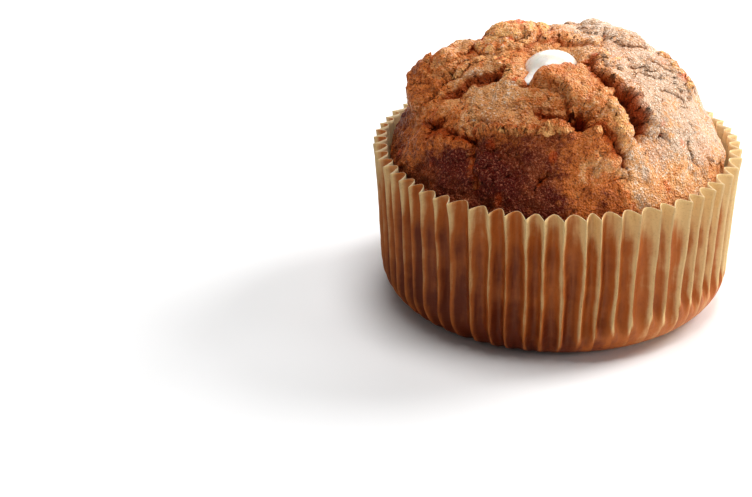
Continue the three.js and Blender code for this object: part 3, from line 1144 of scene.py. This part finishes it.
    def surface(self, u: Array, v: Array) -> tuple[Array, dict[str, Array]]:
        """Raise the crust at unrolled coordinates.

        Each point moves along the dome's normal by the relief's height, and down the relief's own slope, so
        that plates swell over the cracks beside them.

        Args:
            u: Arc length to the right.
            v: Arc length to the back.

        Returns:
            Points and the layers of values for the finish.
        """
        point, normal, down, around, stretch = self.dome(u, v)
        relief = self.structure(u, v, point)
        slopes = []
        for du, dv in ((self.slope_step, 0.0), (0.0, self.slope_step)):
            moved = self.dome(u + du, v + dv)[0]
            slopes.append((self.structure(u + du, v + dv, moved).height - relief.height) / self.slope_step)
        angle = np.arctan2(v, u)
        slope_down = np.cos(angle) * slopes[0] + np.sin(angle) * slopes[1]
        slope_around = (-np.sin(angle) * slopes[0] + np.cos(angle) * slopes[1]) * stretch
        shift = self.swelling / (1.0 + 0.55 * np.hypot(slope_down, slope_around))
        edge_fade = smoothstep(0.0, self.rim_blend, self.arc_s[-1] - np.hypot(u, v))
        calm = smoothstep(*self.calm_edge, np.hypot(u - self.filling.axis[0], v - self.filling.axis[1]))
        fine, pores = self.skin(u, point, relief.torn)
        height = relief.height * (0.25 + 0.75 * edge_fade) + calm * fine
        side = -(slope_down[..., None] * down + slope_around[..., None] * around)
        raised = point + normal * height[..., None] + side * (shift * calm * edge_fade)[..., None]
        radius = np.hypot(raised[..., 0], raised[..., 1])
        room = self.case_room + self.rim_room * smoothstep(35.0, 43.0, raised[..., 2])
        raised[..., :2] *= (np.minimum(radius, room) / np.maximum(radius, 1.0))[..., None]
        shred, _ = self.grain.cells(point * np.array([1.0, 1.0, 0.6]) + 31.0, self.shred_spacing)
        layers = {
            "torn": relief.torn,
            # painted shade in grooves, pits and pores
            "hollow_shade": np.clip(relief.hollow_shade + 0.2 * pores * (1.0 - relief.torn), 0.0, 1.0),
            "toast_and_painted_light": self.toasting_and_painted_light(u, v, point),
            "carrot": smoothstep(0.2, 0.1, shred),
        }
        return raised, layers

    def build(self) -> Object:
        """Build the crumb as one closed mesh: the well and top on a disc grid, then rings down and under.

        Returns:
            The crumb.
        """
        ring, angle, quads, edge = DiscGrid(self.top_rings).build()
        arc = self.arc_s[-1]
        reach = np.clip((ring - self.well_rings) / (self.top_rings - self.well_rings), 0.0, 1.0)
        lip = self.filling.neck_radius + self.well_gap
        away = lip + (self.top_share * arc - lip) * reach
        drift = (1.0 - reach) ** 2
        u = away * np.cos(angle) + self.filling.axis[0] * drift
        v = away * np.sin(angle) + self.filling.axis[1] * drift
        top, layers = self.surface(u, v)
        well = ring < self.well_rings
        radius, z = self.filling.wall(ring[well] / self.well_rings, self.well_gap)
        top[well] = polar(radius, angle[well], z) + np.array([*self.filling.axis, 0.0])
        layers["torn"][well] = 1.0
        turn = angle[edge]
        share = np.linspace(self.top_share, 1.0, self.flank_rings + 1)[1:, None]
        flank_u, flank_v = share * arc * np.cos(turn), share * arc * np.sin(turn)
        flank, flank_layers = self.surface(flank_u.ravel(), flank_v.ravel())
        lower, lower_layers = self.lower_body(flank[-len(turn):], turn)
        points = np.concatenate([top, flank, lower])
        layers = {k: np.concatenate([layers[k], flank_layers[k], lower_layers[k]]) for k in layers}
        rings_below = np.arange(len(top), len(points) - 1).reshape(-1, len(turn))
        rows = np.concatenate([edge[None], rings_below])
        faces = quads + band_faces(rows[::-1]) + fan_faces(rows[-1], len(points) - 1, down=True)
        return mesh_piece("baked_crumb", points, faces, CrustFinish().build(), layers)

    def lower_body(self, crust_ring: Array, turn: Array) -> tuple[Array, dict[str, Array]]:
        """Carry the crumb down inside the case and close it underneath.

        Args:
            crust_ring: The flank's last ring.
            turn: The angle of each of its points.

        Returns:
            Points, the middle of the underside last, and their layers.
        """
        base = self.box[0, 2]
        radius = np.hypot(crust_ring[:, 0], crust_ring[:, 1])
        rows = []
        for share in np.linspace(0.0, 1.0, self.wall_rings + 1)[1:]:
            z = crust_ring[:, 2] + (base + self.corner - crust_ring[:, 2]) * share
            inward = (self.wall_bottom - radius) * smoothstep(0.0, 0.5, np.array(share))
            rows.append(polar(radius + inward, turn, z))
        for lean in np.linspace(0.0, RIGHT_ANGLE, self.base_rings + 1)[1:]:
            r = self.wall_bottom - self.corner * (1.0 - math.cos(lean))
            rows.append(polar(r, turn, base + self.corner - self.corner * math.sin(lean)))
        for share in (0.5, 0.1):
            rows.append(polar(self.underside * share, turn, base))
        points = np.concatenate([*rows, [[0.0, 0.0, base]]])
        blank = np.zeros(len(points))
        return points, {"torn": blank + 0.6, "hollow_shade": blank, "toast_and_painted_light": blank + 0.5, "carrot": blank}


@dataclass
class PaperCase:
    """The pleated cup: sharp outward ridges, wide concave valleys, a rounded corner and a flat base."""

    box: Array
    pleats: int = 60
    samples: int = 14
    depth: float = 2.2
    rim_depth: float = 0.7
    corner: float = 9.0
    wall_radius: float = 41.0
    thickness: float = 0.13
    middle_radius: float = 40.0
    corner_rings: int = 14
    wall_rings: int = 38
    base_shares: tuple[float, ...] = (0.12, 0.45, 0.8)

    def __post_init__(self) -> None:
        """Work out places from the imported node's box, and draw the pleats' irregularities."""
        self.rim = self.box[1, 0]
        self.height = self.box[1, 2]
        draw = np.random.default_rng(5)
        width = 1.0 + 0.13 * np.clip(draw.normal(size=self.pleats), -1.6, 1.6)
        edges = np.concatenate([[0.0], np.cumsum(width)]) / width.sum() * 2 * np.pi
        share = np.linspace(0.0, 1.0, self.samples, endpoint=False)
        share = 0.5 - 0.5 * np.sign(0.5 - share) * np.abs(1.0 - 2.0 * share) ** 0.8
        self.share = np.tile(share, self.pleats)
        self.angle = self.spread(edges[:-1]) + self.share * self.spread(np.diff(edges))
        deep = draw.uniform(0.82, 1.12, self.pleats)
        self.deep = self.spread(deep) * (1.0 - self.share) + self.spread(np.roll(deep, -1)) * self.share
        fade = self.spread(draw.uniform(-1.5, 1.5, self.pleats))
        right = smoothstep(0.2, 0.75, np.cos(self.angle + 0.35))
        self.fade_low = -1.6 + 0.3 * fade + (7.0 + fade) * right
        self.stain = self.spread(draw.uniform(-0.1, 0.1, self.pleats))
        self.ripple = Grain(31)

    def spread(self, values: Array) -> Array:
        """Repeat one value for each pleat over the pleat's samples."""
        return np.repeat(values, self.samples)

    def profile(self) -> tuple[Array, Array]:
        """Follow the ridges from the base's middle: flat, a quarter circle, and a leaning wall that flares.

        Returns:
            The rings' radii and heights.
        """
        flat = self.wall_radius - self.corner
        lean = np.linspace(0.0, RIGHT_ANGLE, self.corner_rings + 1)
        up = np.linspace(0.0, 1.0, self.wall_rings + 1)[1:]
        wall = self.wall_radius + (self.rim - self.wall_radius) * (0.75 * up + 0.25 * up**4)
        r = np.concatenate([flat * np.array(self.base_shares), flat + self.corner * np.sin(lean), wall])
        corner_z = self.corner * (1.0 - np.cos(lean))
        wall_z = self.corner + (self.height - self.corner) * up
        return r, np.concatenate([np.zeros(len(self.base_shares)), corner_z, wall_z])

    def outer(self) -> tuple[Array, Array]:
        """Work out the outer face ring by ring from the base's middle to the rim.

        Each valley lies inside the ridges by depth x (1 - |across| ^ 1.9), and narrows into a tongue towards
        the base. The tops of the valleys are scalloped.

        Returns:
            Points by ring and angle, and how dark each of them is: fat soaked in, with painted light and
            shade.
        """
        r, z = self.profile()
        r, z = r[:, None], np.broadcast_to(z[:, None], (len(z), len(self.angle)))
        full = smoothstep(0.0, 1.0, (z - self.fade_low) / 6.5) * smoothstep(0.45, 0.95, r / self.wall_radius)
        across = np.clip(np.abs(2.0 * self.share - 1.0) / (0.3 + 0.7 * full**0.7), 0.0, 1.0)
        valley = 1.0 - across**1.9
        high = z / self.height
        depth = (self.depth + self.rim_depth * smoothstep(0.6, 1.0, high)) * self.deep * full * valley
        place = polar(self.middle_radius, self.angle, z)
        wander = PLEAT_WANDER.of(self.ripple, place * np.array([1.0, 1.0, 0.4]))
        angle = self.angle + full * wander / self.wall_radius
        crumple = CRUMPLES.of(self.ripple, place) * smoothstep(3.0, 14.0, z) * (0.3 + 0.7 * valley)
        points = polar(r - depth + crumple, angle, z)
        scallop = 0.6 - 0.6 * valley + RIM_WAVES.of(self.ripple, place)
        points[..., 2] -= smoothstep(0.9, 1.0, high) * scallop
        # darker below the rim and towards the base
        soak_and_painted_light = 0.2 + 0.42 * smoothstep(self.height, self.height - 13.0, z) + 0.32 * smoothstep(20.0, 0.0, z)
        # painted light and shade: paler on the front right, most of all low down, where the light falls, and
        # darker on the left, where shade falls; each pleat's stain is drawn at random, and one side of each
        # flute is painted darker than the other
        painted_light_on_right = 0.12 + 0.4 * smoothstep(14.0, 0.0, z)
        soak_and_painted_light = soak_and_painted_light - painted_light_on_right * smoothstep(0.3, 0.9, np.cos(self.angle + 0.4))
        soak_and_painted_light += 0.15 * smoothstep(0.1, -0.6, np.cos(self.angle)) + self.stain - 0.3 * (self.share - 0.5)
        # paler along each ridge: partly drier paper, partly a painted highlight
        dry_ridge_and_highlight = bell(1.0 - np.abs(2.0 * self.share - 1.0), 0.24) * smoothstep(0.05, 0.6, full)
        return points, np.clip(soak_and_painted_light - 0.58 * dry_ridge_and_highlight, 0.0, 1.0)

    def build(self) -> Object:
        """Build the case as one closed shell, its inner face set in from the outer one along its normals.

        Returns:
            The case.
        """
        outer, soak_and_painted_light = self.outer()
        along = np.gradient(outer, axis=0)
        around = np.roll(outer, -1, axis=1) - np.roll(outer, 1, axis=1)
        normal = np.cross(around, along)
        normal /= np.linalg.norm(normal, axis=-1, keepdims=True)
        inner = outer - self.thickness * normal
        rings = np.concatenate([outer, inner[::-1]])
        rows = np.arange(rings.shape[0] * rings.shape[1]).reshape(rings.shape[:2])
        poles = (rows.size, rows.size + 1)
        points = np.concatenate([rings.reshape(-1, 3), [[0.0, 0.0, 0.0], [0.0, 0.0, self.thickness]]])
        faces = band_faces(rows) + fan_faces(rows[0], poles[0], down=True) + fan_faces(rows[-1], poles[1])
        layers = {
            "soak_and_painted_light": np.concatenate([soak_and_painted_light, 0.35 * soak_and_painted_light[::-1]]).ravel(),
            "inside": np.repeat([0.0, 1.0], soak_and_painted_light.size),
        }
        layers = {k: np.concatenate([values, values[[0, -1]]]) for k, values in layers.items()}
        return mesh_piece("pleated_case", points, faces, PaperFinish().build(), layers)


# ---------------------------------------------------------------- the studio


class LightRole(Enum):
    """What a lamp does: its place in metres, its width in metres and its power in watts."""

    KEY = ((0.62, 0.36, 0.5), 0.42, 5.6)
    BACK = ((0.1, 0.9, 0.35), 0.7, 3.0)
    TOP = ((0.05, 0.0, 0.9), 0.5, 4.4)
    SIDE = ((0.85, -0.2, 0.25), 0.35, 2.0)
    FILL = ((-0.5, -0.8, 0.5), 0.8, 0.3)


@dataclass
class Studio:
    """A pale floor, soft lights and the camera. Lengths are in metres and angles in degrees."""

    target: tuple[float, float, float] = (0.0, 0.0, 0.03)
    floor_radius: float = 0.55
    floor_drop: float = 0.00005
    floor_sides: int = 96
    glow_start: float = 0.3
    glow_end: float = 0.95
    world_light: float = 0.14
    world_seen: float = 1.1
    camera_height: float = 24.6
    camera_distance: float = 0.567
    camera_centre: float = 0.025
    camera_turn: float = 4.70
    camera_tilt: float = -1.48
    sensor: float = 36.0
    lens: float = 114.8936

    def floor(self) -> Object:
        """Lay the floor, a pale disc that glows softly towards its edge, so that it melts into the room.

        Returns:
            The floor.
        """
        s = Shader("pale_floor")
        reach = s.node("ShaderNodeVectorMath", {0: s.place}, operation="LENGTH").outputs["Value"]
        glow = s.span(reach, self.glow_start * self.floor_radius, self.glow_end * self.floor_radius)
        pale = s.surface(Base_Color=(0.93, 0.93, 0.93, 1.0), Roughness=0.7, Specular_IOR_Level=0.2,
                         Emission_Color=(1.0, 1.0, 1.0, 1.0), Emission_Strength=glow)
        turn = np.arange(self.floor_sides) * 2 * np.pi / self.floor_sides
        rim = polar(self.floor_radius, turn, -self.floor_drop) / MM
        return mesh_piece("floor", rim, [list(range(len(turn)))], pale)

    def lights(self) -> None:
        """Hang the lamps, each facing the object."""
        for role in LightRole:
            place, width, power = role.value
            lamp = bpy.data.lights.new(role.name.lower() + "_lamp", "AREA")
            lamp.shape = "DISK"
            lamp.size = width
            lamp.energy = power
            holder = bpy.data.objects.new(lamp.name, lamp)
            holder.location = place
            holder.rotation_euler = (Vector(self.target) - Vector(place)).to_track_quat("-Z", "Y").to_euler()
            bpy.context.scene.collection.objects.link(holder)

    def world(self) -> None:
        """Light the world softly, and show it white behind the object."""
        world = bpy.data.worlds.new("soft_room")
        world.use_nodes = True
        tree = world.node_tree
        background = tree.nodes["Background"]
        background.inputs["Color"].default_value = (1.0, 1.0, 1.0, 1.0)
        seen = tree.nodes.new("ShaderNodeLightPath")
        strength = tree.nodes.new("ShaderNodeMapRange")
        strength.inputs["To Min"].default_value = self.world_light
        strength.inputs["To Max"].default_value = self.world_seen
        tree.links.new(seen.outputs["Is Camera Ray"], strength.inputs["Value"])
        tree.links.new(strength.outputs["Result"], background.inputs["Strength"])
        bpy.context.scene.world = world

    def camera(self) -> None:
        """Set up the camera: above the floor, aimed left of the object and a little below it."""
        height = math.radians(self.camera_height)
        data = bpy.data.cameras.new("camera")
        data.sensor_width = self.sensor
        data.lens = self.lens
        camera = bpy.data.objects.new("camera", data)
        turn = Matrix.Rotation(math.radians(self.camera_turn), 4, "Z")
        look = Matrix.Rotation(math.pi / 2 - height + math.radians(self.camera_tilt), 4, "X")
        away = self.camera_distance
        place = Vector((0.0, -away * math.cos(height), away * math.sin(height) + self.camera_centre))
        camera.matrix_world = Matrix.Translation(place) @ turn @ look
        bpy.context.scene.collection.objects.link(camera)
        bpy.context.scene.camera = camera


def main() -> None:
    """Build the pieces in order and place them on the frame."""
    logging.basicConfig(level=logging.INFO, format="%(message)s")
    filling = Filling(node_box("cream_filling"))
    crumb = Crumb(node_box("muffin_crumb"), filling)
    case = PaperCase(node_box("paper_case"))
    for part, node, slot in (
        (filling, "cream_filling", "cream"),
        (crumb, "muffin_crumb", "baked_crumb"),
        (case, "paper_case", "baking_paper"),
    ):
        piece = part.build()
        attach(piece, "root")
        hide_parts(node)
        LOG.info("%s: %d vertices, %d faces", piece.name, len(piece.data.vertices), len(piece.data.polygons))
    studio = Studio()
    studio.floor()
    studio.lights()
    studio.world()
    studio.camera()
    bpy.context.scene.view_settings.view_transform = "Standard"
    bpy.context.scene.view_settings.look = "Medium High Contrast"
    bpy.context.view_layer.update()


if __name__ == "__main__":
    main()
